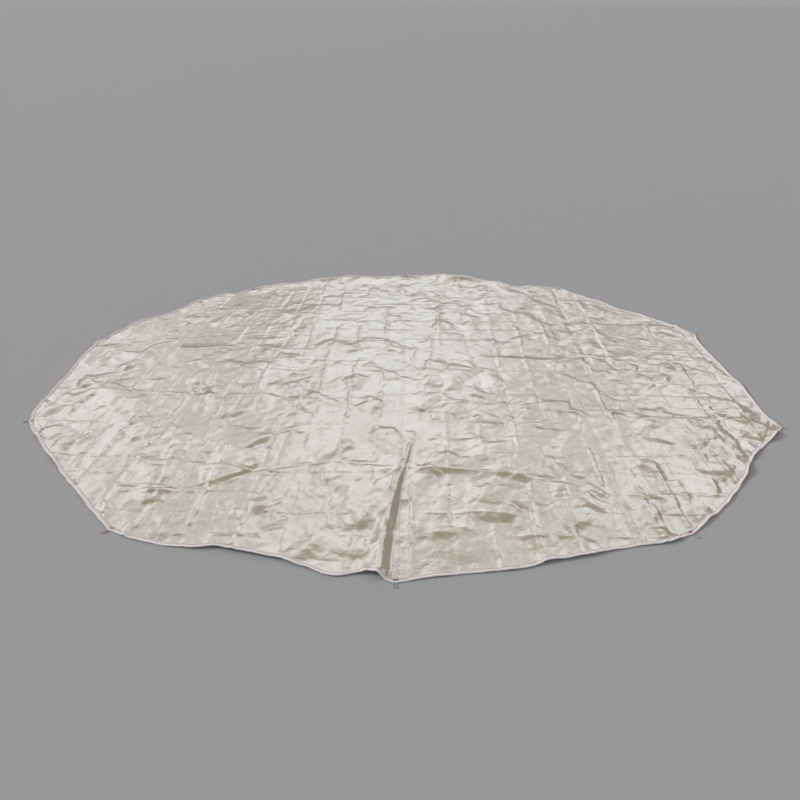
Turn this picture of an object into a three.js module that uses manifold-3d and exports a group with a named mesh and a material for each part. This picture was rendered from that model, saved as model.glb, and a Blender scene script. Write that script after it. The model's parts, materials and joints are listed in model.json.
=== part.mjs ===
// A ten-sided ground sheet of woven plastic, laid out flat on the ground.
// Millimetres, +Z up, +X right, +Y away from the near corner. The origin is on the ground under the middle.
//
// The sheet is four strips of cloth welded side by side. A roped hem runs round the outside, and each
// corner has a sewn patch and a cord loop for a peg. The sheet folds up along three lines beside its
// welds: each outer strip turns in over its neighbour, then the right half turns over the left half.

import * as THREE from "three";
import { mergeVertices } from "three/addons/utils/BufferGeometryUtils.js";
import { ConvexGeometry } from "three/addons/geometries/ConvexGeometry.js";
import Module from "manifold-3d";

const wasm = await Module();
wasm.setup();

// ---- Driving dimensions ----

const SIDES = 10;
const CIRCUMRADIUS = 3660; // centre to corner of the cut sheet
// How far each corner lies from its true place, as x and y, counter-clockwise from the near corner.
const LAID_OUT = [
  [0, 90],
  [30, 0],
  [20, -90],
  [-50, 120],
  [-30, 60],
  [0, -60],
  [30, 20],
  [-40, -60],
  [-20, -20],
  [0, 0],
];

const GAP = 0.3; // between pieces that touch
const CLOTH = 6; // thickness of the solid that stands for the creased cloth

const WELD_X = 1740; // the outer welds, either side of the one at x = 0
const WELD_HALF = 30; // half the width of a weld
const WELD_BEAD = 2; // how far the doubled cloth of a weld stands proud
const OUTER_FOLD_X = 1815; // where the outer strips turn over
const CENTRE_FOLD_X = 120; // where the right half turns over
const CENTRE_BAND_X = -150; // left side of the band beside the centre weld

const PLEAT_FOOT = [-140, -32]; // x of the pleat's foot on each side, at its near end
const PLEAT_CREST = [-110, 60]; // x and height of its crest there
const PLEAT_END = [-40, -1300]; // x and y of the point where it dies away
const PLEAT_NEAR = 93; // from the near corner to the pleat's near end

const HEM_WIDTH = 45;
const HEM_HEIGHT = 12;
const HEM_WALL = 2;
const SLEEVE = 12; // width of the tube along the hem's outer edge that holds the rope
const ROPE_RADIUS = 3.5;
const ROPE_SIDES = 8;

const PATCH_LEG = 110; // along each edge from the corner
const PATCH_THICKNESS = 2;

const LOOP_CORD_RADIUS = 2.5;
const LOOP_CORD_SIDES = 8;
const LOOP_HALF_WIDTH = 14.5; // to the middle of the cord
const LOOP_LENGTH = 55;
const LOOP_ROOT = -0.5; // where the cord starts, outwards from the corner's tip
const LOOP_HEIGHT = 3; // of the cord's middle above the ground
const LOOP_STEPS = 12;
const LOOP_BEND_STEPS = 6;

const BEYOND = 1.2; // how many times further out than the corners a cutting outline reaches

// ---- Materials ----

const CLOTH_LOOK = { color: 0xcac6be, roughness: 0.55, metalness: 0.05 };
const WELD_LOOK = { color: 0xc2bdb2, roughness: 0.5, metalness: 0.05 };
const HEM_LOOK = { color: 0xdcd4d2, roughness: 0.65, metalness: 0 };
const ROPE_LOOK = { color: 0xd8d4cc, roughness: 0.8, metalness: 0 };
const PATCH_LOOK = { color: 0xc9bdb6, roughness: 0.6, metalness: 0 };
const LOOP_LOOK = { color: 0xb9b2ae, roughness: 0.8, metalness: 0 };

// ---- Plane geometry ----

// Corner i of the sheet as it lies, counter-clockwise from the near one.
function corner(i) {
  const k = (i + SIDES) % SIDES;
  const angle = -Math.PI / 2 + (2 * Math.PI * k) / SIDES;
  return new THREE.Vector2(
    CIRCUMRADIUS * Math.cos(angle) + LAID_OUT[k][0],
    CIRCUMRADIUS * Math.sin(angle) + LAID_OUT[k][1],
  );
}

// The unit vectors along edge i, from corner i to the next, and straight out of it.
function edgeDirections(i) {
  const along = corner(i + 1).sub(corner(i)).normalize();
  return { along, out: new THREE.Vector2(along.y, -along.x) };
}

// The sheet's outline moved inwards by a distance.
function outlineInset(distance) {
  const points = [];
  for (let i = 0; i < SIDES; i++) {
    const before = edgeDirections(i - 1).out;
    const after = edgeDirections(i).out;
    const reach = distance / (1 + before.dot(after));
    points.push(corner(i).addScaledVector(before.clone().add(after), -reach));
  }
  return points;
}

// The part of a convex outline where keep(point) is positive; keep is linear in x and y.
function clip(outline, keep) {
  const kept = [];
  outline.forEach((point, i) => {
    const next = outline[(i + 1) % outline.length];
    const here = keep(point);
    const there = keep(next);
    if (here > 0) kept.push(point);
    if (here > 0 !== there > 0) kept.push(point.clone().lerp(next, here / (here - there)));
  });
  return kept;
}

function clipToBand(outline, fromX, toX) {
  const right = clip(outline, (p) => p.x - fromX);
  return clip(right, (p) => toX - p.x);
}

// ---- Solids ----

// An upright prism on a flat outline.
function prism(outline, fromZ, toZ) {
  const shape = new THREE.Shape(outline);
  const geometry = new THREE.ExtrudeGeometry(shape, { depth: toZ - fromZ, bevelEnabled: false });
  return geometry.translate(0, 0, fromZ);
}

// A section, drawn outwards from the hem's outer edge and up from the ground, run along edge i.
function alongEdge(i, section) {
  const { along, out } = edgeDirections(i);
  const start = corner(i + 1).addScaledVector(along, HEM_WIDTH);
  const length = corner(i).distanceTo(corner(i + 1)) + 2 * HEM_WIDTH;
  const geometry = new THREE.ExtrudeGeometry(section, { depth: length, bevelEnabled: false });
  const frame = new THREE.Matrix4().makeBasis(
    new THREE.Vector3(out.x, out.y, 0),
    new THREE.Vector3(0, 0, 1),
    new THREE.Vector3(-along.x, -along.y, 0),
  );
  return geometry.applyMatrix4(frame.setPosition(start.x, start.y, 0));
}

function toSolid(geometry) {
  const plain = geometry.index ? geometry.toNonIndexed() : geometry.clone();
  plain.deleteAttribute("normal");
  plain.deleteAttribute("uv");
  const merged = mergeVertices(plain, 1e-3);
  const mesh = new wasm.Mesh({
    numProp: 3,
    vertProperties: merged.attributes.position.array,
    triVerts: new Uint32Array(merged.index.array),
  });
  return new wasm.Manifold(mesh);
}

function toGeometry(solid) {
  const mesh = solid.getMesh();
  const geometry = new THREE.BufferGeometry();
  geometry.setAttribute("position", new THREE.BufferAttribute(mesh.vertProperties, 3));
  geometry.setIndex(new THREE.BufferAttribute(mesh.triVerts, 1));
  geometry.computeVertexNormals();
  return geometry;
}

function piece(name, geometry, look) {
  const mesh = new THREE.Mesh(geometry, new THREE.MeshStandardMaterial(look));
  mesh.name = name;
  return mesh;
}

// ---- The cloth ----

// One strip of cloth between two upright planes; its edge stops at the hem's rope sleeve.
function clothStrip(name, fromX, toX) {
  const outline = clipToBand(outlineInset(SLEEVE + GAP), fromX + GAP / 2, toX - GAP / 2);
  return piece(name, prism(outline, 0, CLOTH), CLOTH_LOOK);
}

// The band of cloth beside a weld, with the doubled cloth of the weld standing proud on it.
function weldBand(name, fromX, toX, weldX) {
  const band = clipToBand(outlineInset(SLEEVE + GAP), fromX + GAP / 2, toX - GAP / 2);
  const weld = clipToBand(outlineInset(HEM_WIDTH + GAP), weldX - WELD_HALF, weldX + WELD_HALF);
  const solid = toSolid(prism(band, 0, CLOTH)).add(toSolid(prism(weld, 0, CLOTH + WELD_BEAD)));
  return piece(name, toGeometry(solid), WELD_LOOK);
}

// The pleat that stands up on the band beside the centre weld, highest near the hem.
function centrePleat() {
  const footZ = CLOTH + GAP;
  const nearY = corner(0).y + PLEAT_NEAR;
  const geometry = new ConvexGeometry([
    new THREE.Vector3(PLEAT_FOOT[0], nearY, footZ),
    new THREE.Vector3(PLEAT_FOOT[1], nearY, footZ),
    new THREE.Vector3(PLEAT_CREST[0], nearY, PLEAT_CREST[1]),
    new THREE.Vector3(PLEAT_END[0], PLEAT_END[1], footZ),
  ]);
  return piece("centre_pleat", geometry, CLOTH_LOOK);
}

// ---- The hem and its rope ----

// The hem in section: a sleeve on the ground at the outer edge, and a flange that lies on the cloth.
function hemSection() {
  const flangeZ = CLOTH + GAP;
  const flangeTop = flangeZ + HEM_WALL;
  const inside = -SLEEVE + HEM_WALL;
  return new THREE.Shape([
    new THREE.Vector2(0, 0),
    new THREE.Vector2(0, HEM_HEIGHT),
    new THREE.Vector2(-SLEEVE, HEM_HEIGHT),
    new THREE.Vector2(-SLEEVE, flangeTop),
    new THREE.Vector2(-HEM_WIDTH, flangeTop),
    new THREE.Vector2(-HEM_WIDTH, flangeZ),
    new THREE.Vector2(inside, flangeZ),
    new THREE.Vector2(inside, HEM_HEIGHT - HEM_WALL),
    new THREE.Vector2(-HEM_WALL, HEM_HEIGHT - HEM_WALL),
    new THREE.Vector2(-HEM_WALL, HEM_WALL),
    new THREE.Vector2(-SLEEVE, HEM_WALL),
    new THREE.Vector2(-SLEEVE, 0),
  ]);
}

function ropeSection() {
  const points = [];
  for (let i = 0; i < ROPE_SIDES; i++) {
    const angle = (2 * Math.PI * i) / ROPE_SIDES;
    const x = -SLEEVE / 2 + ROPE_RADIUS * Math.cos(angle);
    const z = HEM_HEIGHT / 2 + ROPE_RADIUS * Math.sin(angle);
    points.push(new THREE.Vector2(x, z));
  }
  return new THREE.Shape(points);
}

// The stretch of a run along edge i that lies between two upright planes, mitred at the corners.
function stretch(i, section, fromX, toX, shorten) {
  const start = corner(i);
  const end = corner(i + 1);
  const middle = start.clone().lerp(end, 0.5);
  const wedge = [
    new THREE.Vector2(),
    start.clone().multiplyScalar(BEYOND),
    end.clone().multiplyScalar(BEYOND),
  ];
  const band = clipToBand(wedge, fromX + shorten, toX - shorten);
  const offStart = clip(band, (p) => distanceToRay(p, start, middle) - shorten);
  const offBoth = clip(offStart, (p) => distanceToRay(p, end, middle) - shorten);
  const run = toSolid(alongEdge(i, section));
  return run.intersect(toSolid(prism(offBoth, -HEM_HEIGHT, 2 * HEM_HEIGHT)));
}

// How far a point is from the line through the origin and a corner, positive on the side of another point.
function distanceToRay(point, through, side) {
  const normal = new THREE.Vector2(-through.y, through.x).normalize();
  return point.dot(normal) * Math.sign(side.dot(normal));
}

// The hem pieces and rope pieces between two upright planes; an edge that runs past them gets their letter.
function hemAndRope(fromX, toX, letter) {
  const pieces = [];
  for (let i = 0; i < SIDES; i++) {
    const ends = [corner(i).x, corner(i + 1).x];
    if (Math.max(...ends) <= fromX || Math.min(...ends) >= toX) continue;
    const whole = Math.min(...ends) >= fromX && Math.max(...ends) <= toX;
    const label = whole ? `${i + 1}` : `${i + 1}${letter}`;
    const hem = stretch(i, hemSection(), fromX, toX, GAP / 2);
    const rope = stretch(i, ropeSection(), fromX, toX, ROPE_RADIUS);
    pieces.push(piece(`hem_${label}`, toGeometry(hem), HEM_LOOK));
    pieces.push(piece(`hem_rope_${label}`, toGeometry(rope), ROPE_LOOK));
  }
  return pieces;
}

// ---- The corners ----

// A three-sided patch on top of the hem's flange, inside the rope sleeve.
function cornerPatch(i) {
  const tip = outlineInset(SLEEVE + GAP)[i];
  const back = edgeDirections(i - 1).along;
  const on = edgeDirections(i).along;
  const z = CLOTH + HEM_WALL + 2 * GAP;
  const outline = [
    tip.clone(),
    tip.clone().addScaledVector(on, PATCH_LEG),
    tip.clone().addScaledVector(back, -PATCH_LEG),
  ];
  return piece(`corner_patch_${i + 1}`, prism(outline, z, z + PATCH_THICKNESS), PATCH_LOOK);
}

// A peg loop of cord, lying on the ground and pointing straight out of the corner.
function cornerLoop(i) {
  const bend = LOOP_LENGTH - LOOP_HALF_WIDTH - LOOP_CORD_RADIUS;
  const points = [new THREE.Vector3(-LOOP_HALF_WIDTH, LOOP_ROOT, 0)];
  for (let k = 0; k <= LOOP_BEND_STEPS; k++) {
    const angle = Math.PI - (Math.PI * k) / LOOP_BEND_STEPS;
    points.push(
      new THREE.Vector3(LOOP_HALF_WIDTH * Math.cos(angle), bend + LOOP_HALF_WIDTH * Math.sin(angle), 0),
    );
  }
  points.push(new THREE.Vector3(LOOP_HALF_WIDTH, LOOP_ROOT, 0));
  const section = [];
  for (let k = 0; k < LOOP_CORD_SIDES; k++) {
    const angle = (2 * Math.PI * (k + 0.5)) / LOOP_CORD_SIDES;
    section.push(
      new THREE.Vector2(LOOP_CORD_RADIUS * Math.cos(angle), LOOP_CORD_RADIUS * Math.sin(angle)),
    );
  }
  const geometry = new THREE.ExtrudeGeometry(new THREE.Shape(section), {
    steps: LOOP_STEPS,
    extrudePath: new THREE.CatmullRomCurve3(points),
  });
  const loop = piece(`corner_loop_${i + 1}`, geometry, LOOP_LOOK);
  const out = edgeDirections(i - 1).out.add(edgeDirections(i).out).normalize();
  loop.position.set(corner(i).x, corner(i).y, LOOP_HEIGHT);
  loop.rotation.z = Math.atan2(out.y, out.x) - Math.PI / 2;
  return loop;
}

function corners(...indices) {
  return indices.flatMap((i) => [cornerPatch(i), cornerLoop(i)]);
}

// ---- The assembly, one group for each part of the sheet that folds as one ----

function fold(...pieces) {
  const group = new THREE.Group();
  group.add(...pieces.flat());
  return group;
}

const EDGE = 2 * CIRCUMRADIUS; // beyond the sheet on either side
const root = new THREE.Group();
root.add(
  fold(
    clothStrip("outer_left_strip", -EDGE, -OUTER_FOLD_X),
    hemAndRope(-EDGE, -OUTER_FOLD_X, "a"),
    corners(6, 7, 8, 9),
  ),
  fold(
    weldBand("left_weld", -OUTER_FOLD_X, -WELD_X + WELD_HALF, -WELD_X),
    clothStrip("inner_left_strip", -WELD_X + WELD_HALF, CENTRE_BAND_X),
    weldBand("centre_weld", CENTRE_BAND_X, CENTRE_FOLD_X, 0),
    centrePleat(),
    hemAndRope(-OUTER_FOLD_X, CENTRE_FOLD_X, "b"),
    corners(0, 5),
  ),
  fold(
    clothStrip("inner_right_strip", CENTRE_FOLD_X, WELD_X - WELD_HALF),
    weldBand("right_weld", WELD_X - WELD_HALF, OUTER_FOLD_X, WELD_X),
    hemAndRope(CENTRE_FOLD_X, OUTER_FOLD_X, "c"),
  ),
  fold(
    clothStrip("outer_right_strip", OUTER_FOLD_X, EDGE),
    hemAndRope(OUTER_FOLD_X, EDGE, "d"),
    corners(1, 2, 3, 4),
  ),
);

export default root;
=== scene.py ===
"""Looks of a ten-sided ground sheet of woven plastic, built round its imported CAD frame.

Metres, in the row frame: +X right, +Y away from the near corner, +Z up, ground at z = 0.
One height field says how the cloth lies; strips, welds, hem, patches and stitches all follow it.
"""

import json
import math

import bpy
import numpy as np
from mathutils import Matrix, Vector


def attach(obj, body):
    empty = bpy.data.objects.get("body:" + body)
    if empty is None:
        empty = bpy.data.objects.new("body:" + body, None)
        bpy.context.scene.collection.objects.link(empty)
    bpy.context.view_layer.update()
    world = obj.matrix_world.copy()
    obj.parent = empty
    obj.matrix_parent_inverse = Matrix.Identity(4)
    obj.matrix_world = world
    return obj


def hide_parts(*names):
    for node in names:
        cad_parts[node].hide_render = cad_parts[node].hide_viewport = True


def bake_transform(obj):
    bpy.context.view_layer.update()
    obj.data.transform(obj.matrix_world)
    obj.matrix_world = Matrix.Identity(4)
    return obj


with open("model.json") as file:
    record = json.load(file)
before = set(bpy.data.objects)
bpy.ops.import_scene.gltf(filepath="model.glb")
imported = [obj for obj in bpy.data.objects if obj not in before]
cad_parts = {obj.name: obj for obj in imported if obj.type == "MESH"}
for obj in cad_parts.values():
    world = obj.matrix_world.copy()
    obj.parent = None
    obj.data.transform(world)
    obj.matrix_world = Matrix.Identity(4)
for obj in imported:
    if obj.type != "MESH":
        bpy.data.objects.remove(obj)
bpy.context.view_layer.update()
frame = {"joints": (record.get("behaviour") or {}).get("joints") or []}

SEED = 71

# ---- Light ----

# The sky that the satin cloth reflects: a ring of soft windows with a dim wall between them on the right.
SKY_HORIZON = (0.345, 0.347, 0.347)
SKY_DIM = (0.375, 0.33, 0.262)
SKY_BRIGHT = (1.24, 1.30, 1.40)
HORIZON_TOP = (0.17, 0.24)  # sines of the heights between which the room takes over from the horizon
WINDOWS = 14
WINDOW_FRAMES = 0.15  # how bright the gaps between the windows are
WINDOW_TURN = -3.3
WINDOW_SLANT = 9.0
WINDOW_EDGE = (-1.0, -0.4)  # cosines between which a window's side brightens
WINDOW_RIGHT = (0.34, 0.45)  # how far to the right they fade away, as a share of straight right
WINDOW_BEYOND = (0.62, 0.75)  # and how far to the right they come back
WINDOW_SILL = (0.17, 0.33)  # sines of the heights between which a window begins
WINDOW_HEAD = (0.56, 0.74)
SUN_FROM = (-0.85, 0.1, 0.42)
SUN_STRENGTH = 1.5
SUN_SPREAD = 14  # degrees across
SUN_COLOR = (1.0, 0.98, 0.95)
FLOOR_COLOR = (0.384, 0.395, 0.410)
FLOOR_REACH = 1500.0

# ---- Camera ----

CAMERA_LENS = 38.25
CAMERA_SENSOR = 36
CAMERA_PLACE = (0.12, -8.25, 3.546)
CAMERA_DOWN = 24.95  # degrees under level
CAMERA_ROLL = 0.17
CAMERA_LEFT = 0.97  # degrees to the left of straight along the sheet

# ---- Driving dimensions ----

SIDES = 10
SEAM_X = 1.74  # the outer seams, either side of the one at x = 0
FOLD_X = 1.815  # where the outer strips turn over
WELD_WIDTH = 0.04
LAP = 0.025  # how far one strip runs under the next
LAP_DROP = 0.0008
LAP_EASE = 0.005  # either side of the lap's edge
WELD_RISE = 0.0008
WELD_CLEAR = 0.0002  # of its edges over the cloth
WELD_COLUMNS = 9
CLOTH_STEP = 0.0125  # spacing of the cloth's mesh
HEM_STEP = 0.012
HEM_WIDTH = 0.034
HEM_LEAVES_ROPE = (0.010, 0.022)  # depths between which the tape stops following the rope's height
SLEEVE_DEPTH = 0.006  # from the outer edge to the middle of the rope
SLEEVE_RADIUS = 0.0055
ROPE_RADIUS = 0.0034
CLOTH_INSET = 0.0125  # the cloth ends inside the hem
TAPE = 0.0007  # thickness of the hem's tape
PATCH_LEG = 0.105
PATCH_BACK = 0.012  # from the corner's tip to the patch's
PATCH_RISE = 0.0024  # over the cloth
PATCH_BLUNT = 0.012  # cut off its tip
PATCH_STEPS = 14
PATCH_MARGIN = 0.006  # from its corners to those of its stitched border
CORD_RADIUS = 0.0023
LOOP_HEIGHT = 0.003
LOOP_HALF_WIDTH = 0.0140
LOOP_LENGTH = 0.054
LOOP_WAIST = 0.35  # share by which a loop is narrower where it is sewn in
CORD_STEP = 0.0011
BRAID_LAY = 0.009  # one turn of the cord's strands
ROPE_LAY = 0.045  # one turn of the rope's strands
STITCH_PITCH = 0.010
STITCH_LENGTH = 0.0075
STITCH_DEPTHS = (0.027, 0.0305)
THREAD_RADIUS = 0.0009
TACK_STITCHES = 9
TACK_START = 0.007  # from the patch's tip to the first stitch of its bar
TACK_PITCH = 0.0028
TACK_WIDTH = 0.046
TACK_FLARE = 1.6  # how fast the bar widens from the tip
REST_HEIGHT = 0.0062  # of the cloth above the ground at the hem, where the rope lies on the ground

# The two bodies of each fold, and the stretch of x over which the cloth rolls over.
LEFT_ROLL = ("inner_left", "outer_left", -1.77, -1.86)
CENTRE_ROLL = ("inner_left", "inner_right", 0.03, 0.21)
RIGHT_ROLL = ("inner_right", "outer_right", 1.77, 1.86)

# ---- Outline ----

PIVOTS = {j["name"]: j["pos_m"] for j in frame["joints"]}
CORNERS = np.array([PIVOTS[f"loop_{n + 1}_swing"][:2] for n in range(SIDES)])
# How far each side, as it lies, is outside the straight line between its corners, at even steps.
BULGES = [
    [0.000, 0.025, 0.050, 0.070, 0.050, 0.045, 0.035, 0.035, 0.050],
    [0.020, 0.045, 0.050, 0.050, 0.030, -0.010, -0.025, -0.020, 0.005],
    [-0.045, -0.035, -0.020, -0.010, -0.030, -0.025, -0.035, -0.045, -0.038],
    [-0.018, -0.005, -0.040, -0.045, -0.060, -0.030, -0.025, -0.030, -0.060],
    [-0.050, -0.085, -0.105, -0.045, 0.025, 0.045, 0.030, 0.085, 0.020],
    [-0.020, -0.030, 0.070, 0.085, 0.040, 0.065, 0.050, 0.050, 0.030],
    [-0.030, 0.080, 0.080, 0.110, 0.060, 0.060, 0.050, 0.060, 0.020],
    [0.040, 0.040, 0.060, 0.050, 0.045, 0.050, 0.045, 0.050, 0.040],
    [0.025, 0.030, 0.035, 0.035, 0.035, 0.030, 0.025, 0.020, 0.010],
    [0.050, 0.060, 0.040, -0.020, -0.025, -0.020, 0.010, 0.050, -0.040],
]


def turned(vector):
    """A plan vector turned a quarter turn clockwise."""
    return np.stack([vector[..., 1], -vector[..., 0]], axis=-1)


def unit(vector):
    return vector / np.linalg.norm(vector)


def smooth(value, low, high):
    t = np.clip((value - low) / (high - low), 0, 1)
    return t * t * (3 - 2 * t)


class Side:
    """One side of the sheet, from corner i to the next, counter-clockwise."""

    def __init__(self, i):
        self.start = CORNERS[i]
        self.end = CORNERS[(i + 1) % SIDES]
        self.length = float(np.linalg.norm(self.end - self.start))
        self.along = (self.end - self.start) / self.length
        self.out = turned(self.along)
        self.bulges = np.array([0, *BULGES[i], 0])
        self.phase = 1.7 * i

    def mitres(self):
        """Tangents of half the turn at each end."""
        i = SIDE_LIST.index(self)
        before = SIDE_LIST[i - 1]
        after = SIDE_LIST[(i + 1) % SIDES]
        turns = [before.along, after.along]
        return [math.tan(math.acos(np.clip(self.along @ t, -1, 1)) / 2) for t in turns]

    def bow(self, s):
        """How far the real edge lies outside the straight side, at distance s along it."""
        t = np.clip(s / self.length, 0, 1)
        station = t * (len(self.bulges) - 1)
        first = np.minimum(station.astype(int), len(self.bulges) - 2)
        share = smooth(station - first, 0, 1)
        bulge = self.bulges[first] * (1 - share) + self.bulges[first + 1] * share
        ripple = 0.004 * np.sin(23 * t + self.phase) + 0.002 * np.sin(61 * t + 2 * self.phase)
        return bulge + ripple * np.sin(np.pi * t)

    def place(self, s, depth):
        """Plan points at distance s along the side and a depth inside its outer edge."""
        first, last = self.mitres()
        s, depth = np.broadcast_arrays(np.asarray(s, float), np.asarray(depth, float))
        s_in = np.clip(s, depth * first, self.length - depth * last)
        out = self.bow(s_in) - depth
        return self.start + s_in[..., None] * self.along + out[..., None] * self.out

    def distance_inside(self, x, y):
        """How far plan points lie inside this side's real edge."""
        p = np.stack([x - self.start[0], y - self.start[1]], axis=-1)
        return self.bow(p @ self.along) - p @ self.out


SIDE_LIST = [Side(i) for i in range(SIDES)]


def depth_inside(x, y):
    return np.min([side.distance_inside(x, y) for side in SIDE_LIST], axis=0)


# ---- How the cloth lies: one height field on a fine raster ----

CELL = 0.01
FIELD_X = np.arange(-3.8, 3.8, CELL)
FIELD_Y = np.arange(-3.8, 3.9, CELL)
GX, GY = np.meshgrid(FIELD_X, FIELD_Y, indexing="ij")

# Creases and folds, as (points, height at each end, width on the left, width on the right). A negative
# height is a valley. Left and right are as seen going from the first point to the last.
CREASES = [
    # the middle crease beyond the pleat
    (
        [(0.10, -1.5), (0.17, -0.95), (0.22, -0.3), (0.30, 0.8), (0.42, 2.0), (0.53, 3.0), (0.5, 3.6)],
        0.008, 0.006, 0.03, 0.022,
    ),
    # long creases along the sheet
    (
        [(2.02, -3.0), (2.0, -2.0), (1.98, -0.8), (2.0, 0.6), (1.98, 2.0), (2.0, 3.0)],
        -0.008, -0.006, 0.014, 0.03,
    ),
    ([(1.80, -3.05), (1.78, -1.8), (1.79, -0.9), (1.77, 0.5), (1.74, 1.6)], 0.006, 0.003, 0.03, 0.012),
    ([(2.18, -2.9), (2.16, -2.0), (2.12, -1.2), (2.10, -0.7)], 0.007, 0.004, 0.03, 0.012),
    ([(1.02, -3.2), (1.0, -2.1), (1.0, -0.9), (1.02, 0.2), (1.0, 1.4)], -0.004, -0.003, 0.012, 0.012),
    ([(1.2, -1.3), (1.19, -2.1), (1.22, -2.7)], -0.003, -0.002, 0.01, 0.01),
    ([(3.0, -1.9), (2.98, -1.0), (3.0, 0.0), (2.99, 1.0), (3.0, 1.9)], -0.007, -0.005, 0.012, 0.03),
    ([(2.55, -2.35), (2.62, -1.75), (2.52, -1.1)], 0.010, 0.003, 0.05, 0.018),
    ([(3.25, -0.9), (3.22, -0.2), (3.3, 0.5), (3.27, 1.2)], 0.006, 0.005, 0.03, 0.015),
    ([(-1.68, -1.1), (-1.5, 0.0), (-1.27, 1.7)], -0.006, -0.005, 0.012, 0.03),
    ([(-1.95, -2.9), (-1.78, -1.9), (-1.66, -1.1)], 0.006, 0.004, 0.02, 0.012),
    ([(-1.2, -3.15), (-1.15, -2.6), (-1.05, -2.0), (-1.02, -1.3)], -0.004, -0.004, 0.012, 0.012),
    ([(-0.62, -3.3), (-0.6, -2.6), (-0.55, -2.0)], -0.003, -0.003, 0.012, 0.012),
    # creases across the sheet
    (
        [(-3.5, -0.38), (-2.9, -0.42), (-2.15, -0.46), (-1.4, -0.53)]
        + [(-1.0, -0.65), (-0.6, -0.6), (0.0, -0.5)],
        -0.006, -0.004, 0.012, 0.022,
    ),
    (
        [(-2.95, -1.78), (-2.15, -1.86), (-1.5, -1.95), (-1.2, -2.06), (-0.8, -1.93), (0.0, -1.97)],
        -0.006, -0.005, 0.014, 0.014,
    ),
    ([(0.2, -2.0), (0.6, -2.04), (1.0, -2.12), (1.4, -2.3), (1.78, -2.68)], 0.010, 0.005, 0.02, 0.06),
    ([(0.4, -0.62), (1.0, -0.75), (1.6, -0.9), (2.1, -0.86)], 0.005, 0.004, 0.012, 0.03),
    ([(2.05, -0.95), (2.4, -1.03), (3.0, -1.04), (3.35, -1.08)], -0.006, -0.008, 0.014, 0.014),
    ([(1.9, 0.6), (2.5, 0.35), (3.15, 0.1)], 0.007, 0.006, 0.02, 0.03),
    ([(1.9, 1.55), (2.5, 1.52), (3.0, 1.48), (3.32, 1.43)], 0.006, 0.014, 0.03, 0.012),
    ([(-2.55, 0.78), (-2.2, 0.8), (-1.85, 0.82)], 0.014, 0.008, 0.05, 0.014),
    ([(0.9, 0.52), (1.4, 0.46), (1.93, 0.42)], 0.008, 0.016, 0.05, 0.014),
    ([(-2.6, 1.88), (-2.0, 1.92), (-1.0, 1.86)], 0.006, 0.005, 0.03, 0.012),
    ([(-3.3, 1.0), (-2.7, 1.05), (-1.9, 1.2), (-0.9, 1.15)], -0.004, -0.003, 0.015, 0.015),
    ([(-0.3, 2.7), (0.6, 2.62), (1.5, 2.6), (2.3, 2.5)], -0.004, -0.004, 0.015, 0.015),
    # folds round the left foot of the pleat and the near left
    ([(-2.3, -2.3), (-1.75, -2.35), (-1.3, -2.1)], 0.008, 0.004, 0.03, 0.014),
    ([(-0.35, -3.4), (-0.28, -2.8), (-0.16, -2.2)], 0.006, 0.003, 0.02, 0.02),
    # the fan at the right near corner
    ([(3.27, -1.5), (3.0, -1.2), (2.72, -1.06)], 0.010, 0.003, 0.03, 0.02),
    ([(3.27, -1.5), (3.05, -1.42), (2.7, -1.5)], -0.007, -0.003, 0.02, 0.02),
    ([(3.22, -1.55), (3.36, -1.28), (3.46, -1.05)], -0.012, -0.008, 0.03, 0.03),
    ([(2.75, -2.2), (2.72, -1.7), (2.88, -1.2)], 0.012, 0.003, 0.02, 0.06),
]
CREASE_SWAY = 0.012  # how far a crease strays from its line
FOLD_SHAPE = 1.25  # of a fold's fall; 1 has a sharp crest, 2 a round one
FOLD_REACH = 5  # widths beyond which a fold is nothing

# The crest of the pleat that stands up at the near corner, as (x, y, height), then its faces' slopes.
PLEAT = [
    (-0.125, -3.56, 0.052), (-0.115, -3.3, 0.049), (-0.085, -2.9, 0.042), (-0.035, -2.45, 0.034),
    (0.03, -2.0, 0.021), (0.1, -1.5, 0.010), (0.15, -1.1, 0.0),
]
PLEAT_LEFT = 0.46
PLEAT_RIGHT = 0.60

# Places where creases cross and short wrinkles run out all round, as (x, y, reach).
STARS = [
    (-1.2, -2.06, 0.34), (0.2, -2.0, 0.40), (1.0, -2.1, 0.24), (2.0, -2.45, 0.30),
    (2.0, -0.88, 0.34), (1.0, -0.72, 0.22), (-1.0, -0.62, 0.30), (-1.95, -0.5, 0.26),
    (0.22, -0.9, 0.30), (3.0, -1.04, 0.26), (2.0, 0.5, 0.28), (1.95, 1.55, 0.26),
    (-1.9, 1.9, 0.26), (-1.3, 1.15, 0.26), (0.45, 2.6, 0.30), (-0.2, 1.9, 0.26),
    (-1.95, -2.4, 0.30),
]
STAR_RAYS = (8, 12)
STAR_START = 0.03  # from the crossing to where a ray begins
STAR_HEIGHTS = (0.004, 0.010)
STAR_WIDTHS = (0.013, 0.020)

# Lifted lips of the edge, as (x, y, height, reach).
LIPS = [
    (-1.05, -3.27, 0.022, 0.42), (2.95, 1.95, 0.012, 0.50), (0.72, 3.45, 0.044, 0.34),
    (1.45, 3.26, 0.024, 0.34), (-1.08, 3.34, 0.044, 0.42), (-0.38, 3.52, 0.022, 0.26),
    (-2.58, 2.42, 0.032, 0.42), (-3.2, 1.55, 0.024, 0.36), (3.3, -1.32, 0.020, 0.14),
]
LIP_DEPTH = 0.16  # how far inwards a lifted lip reaches
RUFFLE = 0.005  # height of the edge's small waves
RUFFLE_DEPTH = 0.06

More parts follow.
